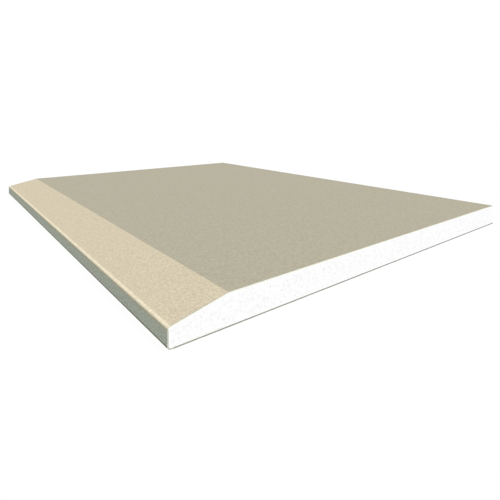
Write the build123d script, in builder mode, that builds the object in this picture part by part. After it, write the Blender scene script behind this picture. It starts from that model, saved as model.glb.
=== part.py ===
"""Cut panel of tapered-edge drywall: a gypsum core between a wrapped face paper and a back paper.

Millimetres, +Z up. The panel lies on its back. The origin is the middle of the back, on the surface
it lies on. The tapered, paper-wrapped long edge is at -X, and the other three sides are square cuts.
"""

import os

from build123d import *

# Panel
panel_width = 250.0
panel_length = 334.0
panel_thickness = 12.5

# Tapered long edge, measured on the outside of the paper
taper_width = 24.0
taper_depth = 5.1
taper_bend_radius = 6.0
shoulder_radius = 1.0

# Foot of that edge, where the paper turns under over a shallow bevel
foot_radius = 0.5
bevel_width = 1.1
bevel_height = 0.5
bevel_end_radius = 3.0
foot_clearance = 0.05

# Papers
face_paper_thickness = 0.40
back_paper_thickness = 0.50
flap_width = 22.0

# Lap: in from the wrapped edge, where the flap steps up to let in the back paper flush
lap_setback = 2.0
lap_step_width = 0.6
lap_step_radius = 0.5

# Places worked out from the sizes above, across the panel (x) and up from the floor (z)
wrapped_edge_x = -panel_width / 2
cut_edge_x = panel_width / 2
taper_start_x = wrapped_edge_x + taper_width
taper_foot_z = panel_thickness - taper_depth
bevel_end_x = wrapped_edge_x + bevel_width
lap_start_x = wrapped_edge_x + lap_setback
flap_end_x = wrapped_edge_x + flap_width

# The section is drawn once, looking along the panel, and every piece runs its full length
section_plane = Plane.XZ
half_length = panel_length / 2

# Outside of the face paper: in from the cut edge, down the taper, round the edge, and under as the flap
shoulder = (wrapped_edge_x, taper_foot_z)
foot = (wrapped_edge_x, foot_clearance + bevel_height)
bevel_end = (bevel_end_x, foot_clearance)
lap_step_start = (lap_start_x, foot_clearance)
lap_step_end = (lap_start_x + lap_step_width, back_paper_thickness)
with BuildLine() as wrap_line:
    FilletPolyline(
        (cut_edge_x, panel_thickness),
        (taper_start_x, panel_thickness),
        shoulder,
        foot,
        bevel_end,
        lap_step_start,
        lap_step_end,
        (flap_end_x, back_paper_thickness),
        radius=[
            taper_bend_radius,
            shoulder_radius,
            foot_radius,
            bevel_end_radius,
            lap_step_radius,
            lap_step_radius,
        ],
    )

# Face paper: a strip of even thickness inside that line
with BuildPart() as face_paper:
    with BuildSketch(section_plane) as face_paper_section:
        with BuildLine() as face_paper_outline:
            add(wrap_line.line)
            offset(amount=face_paper_thickness, side=Side.LEFT)
        make_face()
    extrude(amount=half_length, both=True)

# Gypsum core: fills the wrap, and its underside steps up over the flap
with BuildPart() as gypsum_core:
    with BuildSketch(section_plane) as core_section:
        with BuildLine() as core_outline:
            add(wrap_line.line)
            offset(amount=face_paper_thickness, side=Side.LEFT, closed=False)
            Polyline(
                (flap_end_x, back_paper_thickness + face_paper_thickness),
                (flap_end_x, back_paper_thickness),
                (cut_edge_x, back_paper_thickness),
                (cut_edge_x, panel_thickness - face_paper_thickness),
            )
        make_face()
    extrude(amount=half_length, both=True)

# Back paper: flat over the core and the flap, its edge thinned to fit the flap's step
with BuildPart() as back_paper:
    with BuildSketch(section_plane) as back_paper_section:
        with Locations((lap_start_x, 0)):
            Rectangle(cut_edge_x - lap_start_x, back_paper_thickness, align=(Align.MIN, Align.MIN))
        with BuildLine(mode=Mode.PRIVATE) as board_outline:
            add(wrap_line.line)
            Polyline(
                (flap_end_x, back_paper_thickness),
                (cut_edge_x, back_paper_thickness),
                (cut_edge_x, panel_thickness),
            )
        make_face(board_outline.edges(), mode=Mode.SUBTRACT)
    extrude(amount=half_length, both=True)

gypsum_core.part.label = "gypsum_core"
face_paper.part.label = "face_paper"
back_paper.part.label = "back_paper"

os.makedirs("parts", exist_ok=True)
export_step(gypsum_core.part, "parts/gypsum_core.step")
export_step(face_paper.part, "parts/face_paper.step")
export_step(back_paper.part, "parts/back_paper.step")
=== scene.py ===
import bpy
import numpy as np
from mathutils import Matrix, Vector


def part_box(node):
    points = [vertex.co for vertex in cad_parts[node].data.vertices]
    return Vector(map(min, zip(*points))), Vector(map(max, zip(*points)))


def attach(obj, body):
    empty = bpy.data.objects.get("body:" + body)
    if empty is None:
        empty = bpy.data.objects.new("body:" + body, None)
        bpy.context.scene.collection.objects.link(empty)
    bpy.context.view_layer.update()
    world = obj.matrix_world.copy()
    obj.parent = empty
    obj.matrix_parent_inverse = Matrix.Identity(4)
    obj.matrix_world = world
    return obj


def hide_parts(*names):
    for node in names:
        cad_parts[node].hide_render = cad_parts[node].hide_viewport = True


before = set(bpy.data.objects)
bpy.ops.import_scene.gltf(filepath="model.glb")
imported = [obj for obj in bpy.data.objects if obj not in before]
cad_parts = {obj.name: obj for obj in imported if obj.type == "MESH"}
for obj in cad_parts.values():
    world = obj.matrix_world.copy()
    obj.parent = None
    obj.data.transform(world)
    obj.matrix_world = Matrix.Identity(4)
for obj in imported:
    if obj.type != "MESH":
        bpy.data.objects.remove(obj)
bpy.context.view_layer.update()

metresPerMm = 0.001
print("frame loaded, nodes:", sorted(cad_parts))


# Board

# The nodes' boxes give the section's outer sizes, and the rest is the board's own, all in mm
faceLow, faceHigh = (np.array(corner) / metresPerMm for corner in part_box("face_paper"))
coreLow, coreHigh = (np.array(corner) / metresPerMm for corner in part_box("gypsum_core"))
backLow, backHigh = (np.array(corner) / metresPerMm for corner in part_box("back_paper"))
facePaperThickness = faceHigh[2] - coreHigh[2]

board = {
    "taperWidth": 24.0,
    "taperDepth": 5.1,
    "bendRadius": 6.0,
    "shoulderRadius": 1.0,
    "footRadius": 0.5,
    "bevelWidth": 1.1,
    "bevelHeight": 0.5,
    "bevelEndRadius": 3.0,
    "flapWidth": 22.0,
    "lapStepWidth": 0.6,  # where the flap steps up over the back paper's edge
    "lapStepRadius": 0.5,
}


def roundedLine(corners, radii, runSteps, arcSteps):
    # A line through the corners, each rounded by an arc that starts before the corner by the radius times
    # the tangent of half the turn. A point of the arc is its start plus the radius times (sin h - sin h0,
    # cos h0 - cos h), with h the heading there and h0 at its start. Gives points, headings, and the numbers
    # of each arc's first and last point.
    corners = np.array(corners, float)
    legs = np.diff(corners, axis=0)
    headings = np.unwrap(np.arctan2(legs[:, 1], legs[:, 0]))
    turns = np.diff(headings)
    cuts = np.concatenate([[0], np.abs(radii * np.tan(turns / 2)), [0]])
    points, directions, arcs = [], [], []
    for index, steps in enumerate(runSteps):
        ahead = legs[index] / np.linalg.norm(legs[index])
        stop = corners[index + 1] - ahead * cuts[index + 1]
        points.append(np.linspace(corners[index] + ahead * cuts[index], stop, steps + 1))
        directions.append(np.full(steps + 1, headings[index]))
        if index < len(turns):
            bend = headings[index] + turns[index] * np.linspace(0, 1, arcSteps[index] + 1)[1:-1]
            swing = np.stack([np.sin(bend), -np.cos(bend)], axis=1)
            swing -= [np.sin(headings[index]), -np.cos(headings[index])]
            points.append(stop + swing * radii[index] * np.sign(turns[index]))
            directions.append(bend)
            last = sum(map(len, points))
            arcs.append((last - len(bend) - 1, last))
    return np.concatenate(points), np.concatenate(directions), arcs


# The paper's outside line: in from the cut edge over the field, down the taper and the edge, under by way
# of the bevel, and on as the flap, which steps up at the lap. The inside line is one thickness to its left.
outerLine, outerHeading, arcs = roundedLine(
    [(faceHigh[0], faceHigh[2]),
     (faceLow[0] + board["taperWidth"], faceHigh[2]),
     (faceLow[0], faceHigh[2] - board["taperDepth"]),
     (faceLow[0], faceLow[2] + board["bevelHeight"]),
     (faceLow[0] + board["bevelWidth"], faceLow[2]),
     (backLow[0], faceLow[2]),
     (backLow[0] + board["lapStepWidth"], backHigh[2]),
     (faceLow[0] + board["flapWidth"], backHigh[2])],
    np.array([board["bendRadius"], board["shoulderRadius"], board["footRadius"], board["bevelEndRadius"],
              board["lapStepRadius"], board["lapStepRadius"]]),
    runSteps=[440, 44, 12, 1, 1, 2, 30], arcSteps=[10, 14, 8, 8, 6, 6])
innerLine = outerLine + facePaperThickness * np.stack([-np.sin(outerHeading), np.cos(outerHeading)], axis=1)
bendArc, shoulderArc, footArc, _, lapArc, lapTopArc = arcs

# How far each point of the line is across the sheet, from the cut edge, and where that puts the bends
acrossSheet = np.concatenate([[0], np.cumsum(np.linalg.norm(np.diff(outerLine, axis=0), axis=1))])
bendMiddle = acrossSheet[list(bendArc)].mean()
shoulderStart, shoulderEnd = acrossSheet[list(shoulderArc)]
footStart, lapTopStart = acrossSheet[[footArc[0], lapTopArc[0]]]


def addMesh(name, points, faces, smooth, materialIndex, materials):
    # Points are in mm in the frame's own place, so the object stays at the origin
    mesh = bpy.data.meshes.new(name)
    mesh.from_pydata(points * metresPerMm, [], faces)
    mesh.polygons.foreach_set("use_smooth", smooth)
    for material in materials:
        mesh.materials.append(material)
    mesh.polygons.foreach_set("material_index", materialIndex)
    mesh.update()
    piece = bpy.data.objects.new(name, mesh)
    bpy.context.scene.collection.objects.link(piece)
    return piece


def gridQuads(index):
    # Quads between neighbours of a grid of vertex numbers, turning from its rows to its columns
    corners = [index[:-1, :-1], index[1:, :-1], index[1:, 1:], index[:-1, 1:]]
    return np.stack(corners, axis=-1).reshape(-1, 4)


def waves(u, v, shortest, longest, seed, count=28):
    # Sum of sine waves in random directions, their lengths spread between the two given, scaled to
    # a spread of 1
    draw = np.random.default_rng(seed)
    heading, phase = draw.uniform(0, 2 * np.pi, (2, count))
    number = 2 * np.pi / np.exp(draw.uniform(np.log(shortest), np.log(longest), count))
    total = np.zeros(np.broadcast(u, v).shape)
    for angle, shift, k in zip(heading, phase, number):
        total += np.sin(k * (u * np.cos(angle) + v * np.sin(angle)) + shift)
    return total / np.sqrt(count / 2)


frayLengths = (0.8, 6.0)  # mm, the shortest and longest waves along a paper's cut edge
frayLimit = 2.0  # times the amount


def fray(along, amount, seed):
    # How far a cut edge stands back along its length: the size of a sum of waves times the amount, up to
    # the limit
    return np.minimum(np.abs(waves(along, 0 * along, *frayLengths, seed)), frayLimit) * amount


bubble = {
    "middle": (0.1, 0.9),  # least and most, as a share of its square
    "size": (0.35, 1.0),  # least and most, as a share of the radius
    "share": 0.8,  # of the squares that hold one
    "least": 1e-6,  # mm, so that a square without one doesn't divide by zero
}


def voids(u, v, spacing, radius, seed):
    # Air bubbles cut open: one in most squares of the spacing, set off its middle at random, each a bowl
    # whose depth falls from its middle as 1 minus the square of distance over radius
    draw = np.random.default_rng(seed)
    columns, rows = (np.floor(axis / spacing).astype(int) for axis in (u, v))
    columns, rows = columns - columns.min() + 1, rows - rows.min() + 1
    shape = (columns.max() + 2, rows.max() + 2)
    offU, offV = draw.uniform(*bubble["middle"], (2, *shape))
    size = radius * draw.uniform(*bubble["size"], shape) * (draw.random(shape) < bubble["share"])
    originU, originV = (np.floor(axis.min() / spacing) - 1 for axis in (u, v))
    depth = np.zeros(np.broadcast(u, v).shape)
    for stepU in (-1, 0, 1):
        for stepV in (-1, 0, 1):
            cellU, cellV = columns + stepU, rows + stepV
            middleU = (originU + cellU + offU[cellU, cellV]) * spacing
            middleV = (originV + cellV + offV[cellU, cellV]) * spacing
            reach = np.maximum(size[cellU, cellV], bubble["least"])
            bowl = 1 - ((u - middleU) ** 2 + (v - middleV) ** 2) / reach ** 2
            depth = np.maximum(depth, size[cellU, cellV] * np.maximum(bowl, 0))
    return depth


# Materials


def linearColor(hexValue):
    # The sRGB curve: a straight line near black, and above it the power 2.4 of the value moved up by 0.055
    channels = np.array([int(hexValue[i:i + 2], 16) for i in (1, 3, 5)]) / 255
    return (*np.where(channels <= 0.04045, channels / 12.92, ((channels + 0.055) / 1.055) ** 2.4), 1.0)


def addNode(tree, kind, inputs, **settings):
    # inputs maps a socket's name or number to a value, or to another node's output to link
    node = tree.nodes.new(kind)
    for name, value in settings.items():
        setattr(node, name, value)
    for name, value in inputs.items():
        if isinstance(value, bpy.types.NodeSocket):
            tree.links.new(value, node.inputs[name])
        else:
            node.inputs[name].default_value = value
    return node


def newMaterial(name):
    material = bpy.data.materials.new(name)
    material.use_nodes = True
    material.node_tree.nodes.clear()
    return material, material.node_tree


def perMm(size):
    # A texture's scale for features of that many mm, in a scene of metres
    return 1 / (size * metresPerMm)


noiseSpan = (0.25, 0.75)  # between which nearly all of a noise texture's values lie

# Face paper: multi-ply recycled board paper, calendered smooth. Dead matte, with a fine even mottle from
# the pulp and faint fibres along the sheet. The tapered margin is the paler ivory, the field greyer. On the
# wrapped edge a painted highlight runs along its shoulder, below it painted shade makes it grey, and it is
# rougher; along its foot runs a dark line of painted shade.
facePaperLook = {
    "field": "#B8B29D",
    "taper": "#DBCFB4",
    # painted highlight: the rounded shoulder drawn pale, as if catching the light
    "shoulder": "#F5E9CC",
    # painted shade: the wrapped edge below the shoulder drawn grey, a little browner at first
    "underShoulder": "#9A9A86",
    "side": "#979D8F",
    "foot": "#30332C",  # painted shade: a dark line just above the turn, where the foot meets the table
    "turned": "#EFE9D8",  # clean ivory where it turns under
    "takeOver": {  # mm past its bend where each tone takes over from the last, and over what width
        "taper": (0.05, 0.5),
        "shoulder": (-0.35, 0.5),
        "underShoulder": (-0.38, 0.9),
        "side": (0.9, 1.0),
        "foot": (-0.3, 0.3),
        "turned": (0.18, 0.12),
    },
    "mottleSize": 1.0,  # mm, coarser than the pulp's 0.3 mm so that it shows in the render
    "mottleField": 0.50,
    "mottleTaper": 0.58,
    "mottleSide": 1.1,  # rubbed rougher on the wrapped edge
    "mottleBlend": 0.6,  # mm
    "fibreLength": 2.4,  # mm
    "fibreWidth": 0.25,  # mm, drawn about five times a real fibre's width
    "fibreShare": 0.35,
    "cutShade": "#F4FBFF",  # darkens the last of the paper at a cut
    "taperCutShade": "#DEEAF3",
    "cutShadeWidth": 0.9,  # mm
    "arris": "#DFE0D4",  # painted light: the wrapped edge's last bit at a cut, drawn pale
    "arrisWidth": 0.55,  # mm
    "roughness": 0.88,
    "grainHeight": 0.02,  # mm
}


def makeFacePaper():
    look = facePaperLook
    material, tree = newMaterial("IvoryBoardPaperCalendered")
    across = addNode(tree, "ShaderNodeAttribute", {}, attribute_name="acrossSheet").outputs["Fac"]
    place = addNode(tree, "ShaderNodeTexCoord", {}).outputs["Object"]
    # Each tone in turn across the sheet, and the place of the bend that it goes by. The shoulder's tone is a
    # painted highlight, and the under-shoulder, side and foot tones are painted shade.
    tone = linearColor(look["field"])
    for zone, bend in (("taper", bendMiddle), ("shoulder", shoulderStart), ("underShoulder", shoulderEnd),
                       ("side", shoulderEnd), ("foot", footStart), ("turned", footStart)):
        past, width = look["takeOver"][zone]
        middle = bend + past
        reached = addNode(tree, "ShaderNodeMapRange", {"Value": across, "From Min": middle - width / 2,
                          "From Max": middle + width / 2}, interpolation_type="SMOOTHSTEP").outputs[0]
        tone = addNode(tree, "ShaderNodeMix", {0: reached, 6: tone, 7: linearColor(look[zone])},
                       data_type="RGBA").outputs[2]
    mottle = addNode(tree, "ShaderNodeTexNoise", {"Vector": place, "Scale": perMm(look["mottleSize"]),
                     "Detail": 2.0}).outputs["Fac"]
    fibreScale = (perMm(look["fibreWidth"]), perMm(look["fibreLength"]), perMm(look["fibreWidth"]))
    stretched = addNode(tree, "ShaderNodeMapping", {"Vector": place, "Scale": fibreScale}).outputs[0]
    fibres = addNode(tree, "ShaderNodeTexNoise", {"Vector": stretched, "Scale": 1.0,
                     "Detail": 1.0}).outputs["Fac"]
    grain = addNode(tree, "ShaderNodeMath", {0: fibres, 1: look["fibreShare"], 2: mottle},
                    operation="MULTIPLY_ADD").outputs[0]
    # How far the grain swings the tone: more on the taper, and most on the wrapped edge
    onTaper, onSide = (
        addNode(tree, "ShaderNodeMapRange", {"Value": across, "From Min": start,
                "From Max": start + look["mottleBlend"]}).outputs[0]
        for start in (bendMiddle - look["mottleBlend"], shoulderEnd))
    swing = look["mottleField"]
    for reached, zone in ((onTaper, "mottleTaper"), (onSide, "mottleSide")):
        swing = addNode(tree, "ShaderNodeMix", {0: reached, 2: swing, 3: look[zone]}).outputs[0]
    centred = addNode(tree, "ShaderNodeMath", {0: grain, 1: (1 + look["fibreShare"]) / 2},
                      operation="SUBTRACT").outputs[0]
    value = addNode(tree, "ShaderNodeMath", {0: centred, 1: swing, 2: 1.0},
                    operation="MULTIPLY_ADD").outputs[0]
    along = addNode(tree, "ShaderNodeSeparateXYZ", {0: place}).outputs["Y"]
    fromMiddle = addNode(tree, "ShaderNodeMath", {0: along}, operation="ABSOLUTE").outputs[0]
    end = faceHigh[1] * metresPerMm
    atEnd, atArris = (
        addNode(tree, "ShaderNodeMapRange", {"Value": fromMiddle, "From Max": end,
                "From Min": end - look[width] * metresPerMm}, interpolation_type="SMOOTHSTEP").outputs[0]
        for width in ("cutShadeWidth", "arrisWidth"))
    atSide = addNode(tree, "ShaderNodeMapRange", {"Value": across, "From Max": look["cutShadeWidth"],
                     "To Min": 1.0, "To Max": 0.0}, interpolation_type="SMOOTHSTEP").outputs[0]
    atCut = addNode(tree, "ShaderNodeMath", {0: atEnd, 1: atSide}, operation="MAXIMUM").outputs[0]
    shade = addNode(tree, "ShaderNodeMix", {0: onTaper, 6: linearColor(look["cutShade"]),
                    7: linearColor(look["taperCutShade"])}, data_type="RGBA").outputs[2]
    dulled = addNode(tree, "ShaderNodeMix", {0: atCut, 6: tone, 7: shade},
                     data_type="RGBA", blend_type="MULTIPLY").outputs[2]
    # Painted light: near each cut end the wrapped edge takes the paler arris tone
    onEdge = addNode(tree, "ShaderNodeMath", {0: across, 1: shoulderEnd},
                     operation="GREATER_THAN").outputs[0]
    litCorner = addNode(tree, "ShaderNodeMath", {0: atArris, 1: onEdge}, operation="MULTIPLY").outputs[0]
    withLitCorner = addNode(tree, "ShaderNodeMix", {0: litCorner, 6: dulled, 7: linearColor(look["arris"])},
                   data_type="RGBA").outputs[2]
    color = addNode(tree, "ShaderNodeHueSaturation", {"Value": value, "Color": withLitCorner}).outputs[0]
    bump = addNode(tree, "ShaderNodeBump", {"Height": grain, "Distance": look["grainHeight"] * metresPerMm})
    shader = addNode(tree, "ShaderNodeBsdfPrincipled", {"Base Color": color, "Roughness": look["roughness"],
                     "IOR": 1.5, "Specular IOR Level": 0.2, "Normal": bump.outputs[0]})
    addNode(tree, "ShaderNodeOutputMaterial", {"Surface": shader.outputs[0]})
    return material


# Cut edge of the face paper: the knife opens its plies, so over the face it is paler than the surface. Round
# the wrapped edge it is duller, because the plies are pressed and bent there, most of all where it turns
# under, and the flap is dusted white.
faceCutLook = {
    "field": "#EEECDB",
    "taper": "#F4F2E3",
    "edge": "#C9C7BC",
    "under": "#B6B5AB",
    "flap": "#FBFAF5",
    "blend": 0.6,  # mm from one tone to the next
    "plySize": 0.25,  # mm
    "swing": 0.05,
    "roughness": 0.95,
    "fuzzHeight": 0.03,  # mm
}


def makeFaceCut():
    look = faceCutLook
    material, tree = newMaterial("BoardPaperPliesCutIvory")
    across = addNode(tree, "ShaderNodeAttribute", {}, attribute_name="acrossSheet").outputs["Fac"]
    place = addNode(tree, "ShaderNodeTexCoord", {}).outputs["Object"]
    tone = linearColor(look["field"])
    for zone, middle in (("taper", bendMiddle), ("edge", shoulderEnd), ("under", footStart),
                         ("flap", lapTopStart)):
        reached = addNode(tree, "ShaderNodeMapRange", {"Value": across,
                          "From Min": middle - look["blend"] / 2,
                          "From Max": middle + look["blend"] / 2}).outputs[0]
        tone = addNode(tree, "ShaderNodeMix", {0: reached, 6: tone, 7: linearColor(look[zone])},
                       data_type="RGBA").outputs[2]
    fuzz = addNode(tree, "ShaderNodeTexNoise", {"Vector": place, "Scale": perMm(look["plySize"]),
                   "Detail": 2.0}).outputs["Fac"]
    value = addNode(tree, "ShaderNodeMapRange", {"Value": fuzz, "From Min": noiseSpan[0],
                    "From Max": noiseSpan[1], "To Min": 1 - look["swing"],
                    "To Max": 1 + look["swing"]}).outputs[0]
    color = addNode(tree, "ShaderNodeHueSaturation", {"Value": value, "Color": tone}).outputs[0]
    bump = addNode(tree, "ShaderNodeBump", {"Height": fuzz, "Distance": look["fuzzHeight"] * metresPerMm})
    shader = addNode(tree, "ShaderNodeBsdfPrincipled", {"Base Color": color, "Roughness": look["roughness"],
                     "IOR": 1.5, "Specular IOR Level": 0.15, "Normal": bump.outputs[0]})
    addNode(tree, "ShaderNodeOutputMaterial", {"Surface": shader.outputs[0]})
    return material


# Cut edge of the back paper: grey plies, a little fuzzy from the knife. It is paler beside the wrapped
# edge, and darker toward the square one.
backCutLook = {
    "byWrappedEdge": "#939689",
    "bySquareEdge": "#66695A",
    "plySize": 0.35,  # mm, coarser than real plies so that it shows
    "swing": 0.04,
    "roughness": 0.95,
    "fuzzHeight": 0.03,  # mm
}


def makeBackCut():
    look = backCutLook
    material, tree = newMaterial("BoardPaperPliesCutGrey")
    place = addNode(tree, "ShaderNodeTexCoord", {}).outputs["Object"]
    fuzz = addNode(tree, "ShaderNodeTexNoise", {"Vector": place, "Scale": perMm(look["plySize"]),
                   "Detail": 2.0}).outputs["Fac"]
    value = addNode(tree, "ShaderNodeMapRange", {"Value": fuzz, "From Min": noiseSpan[0],
                    "From Max": noiseSpan[1], "To Min": 1 - look["swing"],
                    "To Max": 1 + look["swing"]}).outputs[0]
    overBoard = addNode(tree, "ShaderNodeSeparateXYZ", {0: place}).outputs["X"]
    towardSquareEdge = addNode(tree, "ShaderNodeMapRange", {"Value": overBoard, "From Min": backLow[0] * metresPerMm,
                      "From Max": backHigh[0] * metresPerMm}).outputs[0]
    tone = addNode(tree, "ShaderNodeMix", {0: towardSquareEdge, 6: linearColor(look["byWrappedEdge"]),
                   7: linearColor(look["bySquareEdge"])}, data_type="RGBA").outputs[2]
    color = addNode(tree, "ShaderNodeHueSaturation", {"Value": value, "Color": tone}).outputs[0]
    bump = addNode(tree, "ShaderNodeBump", {"Height": fuzz, "Distance": look["fuzzHeight"] * metresPerMm})
    shader = addNode(tree, "ShaderNodeBsdfPrincipled", {"Base Color": color, "Roughness": look["roughness"],
                     "IOR": 1.5, "Specular IOR Level": 0.15, "Normal": bump.outputs[0]})
    addNode(tree, "ShaderNodeOutputMaterial", {"Surface": shader.outputs[0]})
    return material


# Gypsum core: set, foamed plaster, sawn square. Chalk white and matte, with pale grey dots of painted
# shade where the saw opens air bubbles, and fainter smears between them. Beside the papers the plaster
# is dense and plain white.
gypsumLook = {
    "plaster": "#F9F9F9",
    "dusk": "#E2E2E3",  # the tone that dots and smears lean to, by the shares below
    "bubbleSpacing": 1.7,  # mm, several times the real bubbles' so that they show
    "bubbleRadius": 0.5,  # share of the spacing
    "bubbleMiddle": 0.1,  # share of the spacing, shaded in full
    "bubbleShade": 0.36,
    "smearSize": 1.4,  # mm
    "smearSpan": (0.40, 0.75),  # values of the noise where a smear starts and is full
    "smearShade": 0.22,
    "denseLayer": 1.1,  # mm beside the papers, where the plaster isn't foamed
    "crystalSize": 0.3,  # mm, coarser than real gypsum crystals so that it shows
    "crystalHeight": 0.04,  # mm
    "roughness": 0.95,
}


def makeGypsum():
    look = gypsumLook
    material, tree = newMaterial("FoamedGypsumPlasterSawn")
    place = addNode(tree, "ShaderNodeTexCoord", {}).outputs["Object"]
    # Painted shade: each opened bubble drawn darkest at its middle, as shade in its hollow
    toBubble = addNode(tree, "ShaderNodeTexVoronoi", {"Vector": place, "Scale": perMm(look["bubbleSpacing"])})
    bubbles = addNode(tree, "ShaderNodeMapRange", {"Value": toBubble.outputs["Distance"],
                      "From Min": look["bubbleMiddle"], "From Max": look["bubbleRadius"],
                      "To Min": look["bubbleShade"], "To Max": 0.0},
                      interpolation_type="SMOOTHSTEP").outputs[0]
    smeared = addNode(tree, "ShaderNodeTexNoise", {"Vector": place, "Scale": perMm(look["smearSize"]),
                      "Detail": 1.0}).outputs["Fac"]
    smears = addNode(tree, "ShaderNodeMapRange", {"Value": smeared, "From Min": look["smearSpan"][0],
                     "From Max": look["smearSpan"][1], "To Max": look["smearShade"]},
                     interpolation_type="SMOOTHSTEP").outputs[0]
    both = addNode(tree, "ShaderNodeMath", {0: bubbles, 1: smears}, operation="ADD").outputs[0]
    fromPaper = addNode(tree, "ShaderNodeAttribute", {}, attribute_name="fromPaper").outputs["Fac"]
    foamed = addNode(tree, "ShaderNodeMapRange", {"Value": fromPaper, "From Max": look["denseLayer"]},
                     interpolation_type="SMOOTHSTEP").outputs[0]
    shade = addNode(tree, "ShaderNodeMath", {0: both, 1: foamed}, operation="MULTIPLY").outputs[0]
    color = addNode(tree, "ShaderNodeMix", {0: shade, 6: linearColor(look["plaster"]),
                    7: linearColor(look["dusk"])}, data_type="RGBA").outputs[2]
    crystals = addNode(tree, "ShaderNodeTexNoise", {"Vector": place, "Scale": perMm(look["crystalSize"]),
                       "Detail": 3.0}).outputs["Fac"]
    bump = addNode(tree, "ShaderNodeBump", {"Height": crystals,
                   "Distance": look["crystalHeight"] * metresPerMm})
    shader = addNode(tree, "ShaderNodeBsdfPrincipled", {"Base Color": color, "Roughness": look["roughness"],
                     "IOR": 1.52, "Specular IOR Level": 0.2, "Normal": bump.outputs[0]})
    addNode(tree, "ShaderNodeOutputMaterial", {"Surface": shader.outputs[0]})
    return material


# Back paper: uncoated recycled greyboard paper. Matte grey with darker pulp flecks.
backPaperLook = {
    "paper": "#B4B4AA",
    "fleck": "#8C8B82",
    "fleckSize": 1.2,  # mm, coarser than real pulp flecks so that they show
    "fleckSpan": (0.5, 0.75),  # values of the noise where a fleck starts and is full
    "roughness": 0.92,
    "pulpHeight": 0.04,  # mm
}


def makeBackPaper():
    look = backPaperLook
    material, tree = newMaterial("GreyRecycledBoardPaper")
    place = addNode(tree, "ShaderNodeTexCoord", {}).outputs["Object"]
    pulp = addNode(tree, "ShaderNodeTexNoise", {"Vector": place, "Scale": perMm(look["fleckSize"]),
                   "Detail": 4.0, "Roughness": 0.65}).outputs["Fac"]
    flecks = addNode(tree, "ShaderNodeMapRange", {"Value": pulp, "From Min": look["fleckSpan"][0],
                     "From Max": look["fleckSpan"][1]}).outputs[0]
    color = addNode(tree, "ShaderNodeMix", {0: flecks, 6: linearColor(look["paper"]),
                    7: linearColor(look["fleck"])}, data_type="RGBA").outputs[2]
    bump = addNode(tree, "ShaderNodeBump", {"Height": pulp, "Distance": look["pulpHeight"] * metresPerMm})
    shader = addNode(tree, "ShaderNodeBsdfPrincipled", {"Base Color": color, "Roughness": look["roughness"],
                     "IOR": 1.5, "Specular IOR Level": 0.2, "Normal": bump.outputs[0]})
    addNode(tree, "ShaderNodeOutputMaterial", {"Surface": shader.outputs[0]})
    return material


facePaperMaterial = makeFacePaper()
faceCutMaterial = makeFaceCut()
backPaperMaterial = makeBackPaper()
backCutMaterial = makeBackCut()
gypsumMaterial = makeGypsum()
print("materials made")


# Face paper

facePaperShape = {
    "endRow": 0.8,  # mm, the short row of faces behind each cut end
    "fray": 0.03,  # mm that the cut ends wander
    "seeds": (11, 12),  # front and rear
}


def makeFacePaperSheet():
    # The section's closed loop, outside line out and inside line back, carried along the panel's length
    shape = facePaperShape
    loop = np.concatenate([outerLine, innerLine[::-1]])
    across = np.concatenate([acrossSheet, acrossSheet[::-1]])
    front, rear = faceLow[1], faceHigh[1]
    frontIn, rearIn = (fray(across, shape["fray"], seed) for seed in shape["seeds"])
    y = np.stack([front + frontIn, np.full(len(loop), front + shape["endRow"]),
                  np.full(len(loop), rear - shape["endRow"]), rear - rearIn], axis=1)
    rowCount = y.shape[1]
    x, z = (np.repeat(loop[:, axis:axis + 1], rowCount, axis=1) for axis in (0, 1))
    points = np.stack([x, y, z], axis=-1).reshape(-1, 3)
    index = np.arange(len(points)).reshape(len(loop), rowCount)
    walls = gridQuads(np.concatenate([index, index[:1]]))[:, ::-1]
    half = len(outerLine)
    frontCap = gridQuads(np.stack([index[:half, 0], index[half:, 0][::-1]], axis=1))
    rearCap = gridQuads(np.stack([index[half:, -1][::-1], index[:half, -1]], axis=1))
    station = np.repeat(np.arange(len(loop)), rowCount - 1)
    isCut = np.concatenate([np.isin(station, [half - 1, len(loop) - 1]), np.ones(2 * (half - 1), bool)])
    piece = addMesh("facePaper", points, np.concatenate([walls, frontCap, rearCap]).tolist(), ~isCut,
                    isCut.astype(int), [facePaperMaterial, faceCutMaterial])
    attribute = piece.data.attributes.new("acrossSheet", "FLOAT", "POINT")
    attribute.data.foreach_set("value", np.repeat(across, rowCount).astype(np.float32))
    return piece


facePaper = makeFacePaperSheet()
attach(facePaper, "root")
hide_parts("face_paper")
print("face paper made,", len(facePaper.data.polygons), "faces")


# Gypsum core

coreShape = {
    "pitch": 0.34,  # mm between points on the sawn faces
    "voidSpacing": 1.7,  # mm
    "voidRadius": 0.45,  # mm
    "voidDepth": 0.45,  # depth of a bowl over its radius
    "crumb": 0.02,  # mm of unevenness left by the saw
    "crumbLengths": (0.9, 4.0),  # mm, its shortest and longest waves
    "recess": 0.03,  # mm that the plaster stands back from the papers' cut edges
    "edgeFade": 0.8,  # mm over which the relief fades out at the papers
    "stepWidth": 0.02,  # mm across the step at the flap's end
    "decimals": 3,  # of a mm, to which two columns count as one
    "seeds": (21, 31, 41),  # front, rear and side
}


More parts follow.
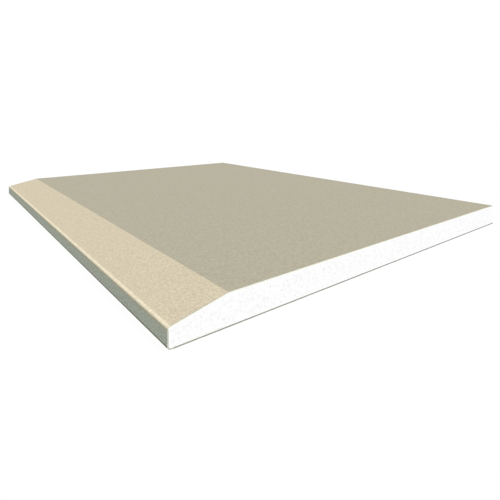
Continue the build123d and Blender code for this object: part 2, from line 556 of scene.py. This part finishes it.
def makeGypsumCore():
    # Each sawn face is a grid: columns along the board, levels from the section's lower line to its upper
    # line, pushed in by the voids and crumbs. Long strips under the papers join the ends. The attribute
    # fromPaper is the distance in mm to the nearest paper.
    shape = coreShape
    right, flapEnd = coreHigh[0], innerLine[-1, 0]
    upper, lower = innerLine[:shoulderArc[1] + 1][::-1], innerLine[footArc[0]:]
    turning = [innerLine[first:last + 1, 0] for first, last in arcs]
    fixed = np.concatenate([*turning, [flapEnd, flapEnd + shape["stepWidth"], right]])
    fixed = np.unique(np.round(fixed, shape["decimals"]))
    gaps = zip(fixed[:-1], fixed[1:])
    columns = np.concatenate([np.linspace(start, stop, int(np.ceil((stop - start) / shape["pitch"])), False)
                              for start, stop in gaps] + [fixed[-1:]])
    topLine = np.interp(columns, upper[:, 0], upper[:, 1])
    footLine = np.where(columns > flapEnd + shape["stepWidth"] / 2, backHigh[2],
                        np.interp(columns, lower[:, 0], lower[:, 1]))
    levels = np.linspace(0, 1, int((coreHigh[2] - coreLow[2]) / shape["pitch"]) + 1)

    def relief(u, v, nearest, seed):
        # How far in the sawn face lies. The fade f at the papers is smoothed to 3 f squared less 2 f cubed.
        bowls = voids(u, v, shape["voidSpacing"], shape["voidRadius"], seed) * shape["voidDepth"]
        crumbs = waves(u, v, *shape["crumbLengths"], seed + 1) * shape["crumb"]
        fade = np.clip(nearest / shape["edgeFade"], 0, 1)
        return np.maximum(shape["recess"] + crumbs + bowls, 0) * fade * fade * (3 - 2 * fade)

    endX = np.repeat(columns[:, None], len(levels), axis=1)
    endZ = footLine[:, None] + levels * (topLine - footLine)[:, None]
    rowCount = int((coreHigh[1] - coreLow[1]) / shape["pitch"]) + 1
    sideY = np.repeat(np.linspace(coreLow[1], coreHigh[1], rowCount)[:, None], len(levels), axis=1)
    sideZ = np.repeat(endZ[-1:], rowCount, axis=0)
    endNearest, sideNearest = (np.minimum(v - v[:, :1], v[:, -1:] - v) for v in (endZ, sideZ))
    endNearest = np.minimum(endNearest, endX - endX[0])
    frontIn, rearIn = (relief(endX, endZ, endNearest, seed) for seed in shape["seeds"][:2])
    sideIn = relief(sideY, sideZ, sideNearest, shape["seeds"][2])
    frontX, rearX = endX.copy(), endX.copy()
    frontX[-1] -= sideIn[0]
    rearX[-1] -= sideIn[-1]
    front = np.stack([frontX, coreLow[1] + frontIn, endZ], axis=-1)
    rear = np.stack([rearX, coreHigh[1] - rearIn, endZ], axis=-1)
    side = np.stack([right - sideIn, sideY, sideZ], axis=-1)[1:-1]
    points = np.concatenate([block.reshape(-1, 3) for block in (front, rear, side)])
    frontIndex = np.arange(endX.size).reshape(endX.shape)
    rearIndex = frontIndex + endX.size
    sideIndex = np.arange(side[..., 0].size).reshape(side.shape[:2]) + 2 * endX.size
    sideIndex = np.concatenate([frontIndex[-1:], sideIndex, rearIndex[-1:]])
    sawn = [gridQuads(frontIndex), gridQuads(rearIndex)[:, ::-1], gridQuads(sideIndex)]
    topQuads = gridQuads(np.stack([frontIndex[:-1, -1], rearIndex[:-1, -1]], axis=1))
    footQuads = gridQuads(np.stack([frontIndex[:-1, 0], rearIndex[:-1, 0]], axis=1))[:, ::-1]
    topStrip = [frontIndex[-2, -1], *sideIndex[:, -1], rearIndex[-2, -1]]
    footStrip = [frontIndex[-2, 0], *sideIndex[:, 0], rearIndex[-2, 0]][::-1]
    wrappedFace = [*frontIndex[0], *rearIndex[0][::-1]]
    hidden = [*topQuads.tolist(), *footQuads.tolist(), topStrip, footStrip, wrappedFace]
    shown = np.concatenate(sawn).tolist()
    smooth = np.arange(len(shown) + len(hidden)) < len(shown)
    piece = addMesh("gypsumCore", points, shown + hidden, smooth, np.zeros(len(smooth), int),
                    [gypsumMaterial])
    fromPaper = np.concatenate([block.ravel() for block in (endNearest, endNearest, sideNearest[1:-1])])
    attribute = piece.data.attributes.new("fromPaper", "FLOAT", "POINT")
    attribute.data.foreach_set("value", fromPaper.astype(np.float32))
    return piece


gypsumCore = makeGypsumCore()
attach(gypsumCore, "root")
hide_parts("gypsum_core")
print("gypsum core made,", len(gypsumCore.data.polygons), "faces")


# Back paper

backPaperShape = {
    "step": 0.6,  # mm between points round the outline
    "fray": 0.05,  # mm that the cut ends wander
    "levels": 6,  # rows of points up its thickness
    "seeds": (51, 52, 53),  # front, side and rear
}


def makeBackPaperSheet():
    # The sheet's outline in plan, its three cut edges wandering a little, at levels up its thickness. Along
    # the lap the outline starts further in at each level, to fit the flap's step.
    shape = backPaperShape
    levels = np.linspace(backLow[2], backHigh[2], shape["levels"])
    lapStep = outerLine[lapArc[0]:lapTopArc[1] + 1]
    lapEdge = np.maximum(np.interp(levels, lapStep[:, 1], lapStep[:, 0]), backLow[0])
    share = np.linspace(0, 1, int((backHigh[0] - backLow[0]) / shape["step"]))
    rows = np.linspace(backLow[1], backHigh[1], int((backHigh[1] - backLow[1]) / shape["step"]))[1:-1]
    places = (share * backHigh[0], rows, share * backHigh[0])
    frontIn, sideIn, rearIn = (
        fray(along, shape["fray"], seed) for along, seed in zip(places, shape["seeds"]))
    frontY, rightX, rearY = backLow[1] + frontIn, backHigh[0] - sideIn, backHigh[1] - rearIn
    outlines = []
    for level, edge in zip(levels, lapEdge):
        endX = edge + share * (backHigh[0] - edge)
        plan = np.concatenate([np.stack([endX, frontY], axis=1), np.stack([rightX, rows], axis=1),
                               np.stack([endX, rearY], axis=1)[::-1]])
        outlines.append(np.column_stack([plan, np.full(len(plan), level)]))
    points = np.concatenate(outlines)
    index = np.arange(len(points)).reshape(len(levels), -1).T
    walls = gridQuads(np.concatenate([index, index[:1]]))
    faces = walls.tolist() + [index[::-1, 0].tolist(), index[:, -1].tolist()]
    isCut = np.arange(len(faces)) < len(walls)
    return addMesh("backPaper", points, faces, np.zeros(len(faces), bool), isCut.astype(int),
                   [backPaperMaterial, backCutMaterial])


backPaper = makeBackPaperSheet()
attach(backPaper, "root")
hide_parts("back_paper")
print("back paper made,", len(backPaper.data.polygons), "faces")


# Studio

# A white room over a backlit table: the table stays white right up to the panel, with only a breath of
# shadow, the walls are white, and a soft light hangs above, a little in front and to the right
studio = {
    "tableRadius": 6.0,  # m
    "tableSides": 96,
    "tableDrop": 0.03,  # mm below the panel
    "tableTone": "#545454",
    "tableGlow": 0.93,
    "wall": 1.02,
    "ceiling": 0.50,
    "turnToCeiling": (0.35, 0.75),  # height of a direction of length 1, where it starts and ends
    "keyTilt": 27.6,  # degrees from straight overhead
    "keyHeading": 40.6,  # degrees from the front towards the right
    "keyStrength": 1.15,
    "keyAngle": 35.0,  # degrees across, for soft shadows
}


def makeTable():
    ring = np.linspace(0, 2 * np.pi, studio["tableSides"] + 1)[:-1]
    radius = studio["tableRadius"]
    points = np.column_stack([np.cos(ring) * radius, np.sin(ring) * radius,
                              np.full(ring.size, -studio["tableDrop"] * metresPerMm)])
    mesh = bpy.data.meshes.new("table")
    mesh.from_pydata(points, [], [list(range(len(points)))])
    table = bpy.data.objects.new("table", mesh)
    bpy.context.scene.collection.objects.link(table)
    material, tree = newMaterial("OpalAcrylicBacklit")
    shader = addNode(tree, "ShaderNodeBsdfPrincipled", {"Base Color": linearColor(studio["tableTone"]),
                     "Roughness": 1.0, "Specular IOR Level": 0.0, "Emission Color": (1, 1, 1, 1),
                     "Emission Strength": studio["tableGlow"]})
    addNode(tree, "ShaderNodeOutputMaterial", {"Surface": shader.outputs[0]})
    mesh.materials.append(material)


def makeRoom():
    world = bpy.data.worlds.new("room")
    bpy.context.scene.world = world
    world.use_nodes = True
    tree = world.node_tree
    tree.nodes.clear()
    direction = addNode(tree, "ShaderNodeTexCoord", {}).outputs["Generated"]
    height = addNode(tree, "ShaderNodeSeparateXYZ", {0: direction}).outputs["Z"]
    strength = addNode(tree, "ShaderNodeMapRange", {"Value": height,
                       "From Min": studio["turnToCeiling"][0], "From Max": studio["turnToCeiling"][1],
                       "To Min": studio["wall"], "To Max": studio["ceiling"]},
                       interpolation_type="SMOOTHSTEP").outputs[0]
    background = addNode(tree, "ShaderNodeBackground", {"Color": (1, 1, 1, 1), "Strength": strength})
    addNode(tree, "ShaderNodeOutputWorld", {"Surface": background.outputs[0]})


def makeKeyLight():
    light = bpy.data.lights.new("key", "SUN")
    light.energy = studio["keyStrength"]
    light.angle = np.radians(studio["keyAngle"])
    key = bpy.data.objects.new("key", light)
    key.rotation_euler = (np.radians(studio["keyTilt"]), 0, np.radians(studio["keyHeading"]))
    bpy.context.scene.collection.objects.link(key)


makeTable()
makeRoom()
makeKeyLight()
bpy.context.scene.view_settings.view_transform = "Standard"
print("studio made")


# Camera

# Level, so that upright edges stay upright as in the photo, with the lens shifted down to the panel
camera = {
    "place": (-184.65, -285.32, 75.18),  # mm
    "heading": -38.215,  # degrees
    "lens": 29.239,  # mm
    "sensor": 36.0,  # mm
    "horizonFromTop": 116.10,  # px in the photo
    "imageSize": 500.0,  # px
    "clipStart": 0.01,  # m
}


def makeCamera():
    data = bpy.data.cameras.new("camera")
    data.lens, data.sensor_width = camera["lens"], camera["sensor"]
    data.shift_y = (camera["horizonFromTop"] - camera["imageSize"] / 2) / camera["imageSize"]
    data.clip_start = camera["clipStart"]
    view = bpy.data.objects.new("camera", data)
    view.location = np.array(camera["place"]) * metresPerMm
    view.rotation_euler = (np.pi / 2, 0, np.radians(camera["heading"]))
    bpy.context.scene.collection.objects.link(view)
    bpy.context.scene.camera = view


makeCamera()
print("camera made")
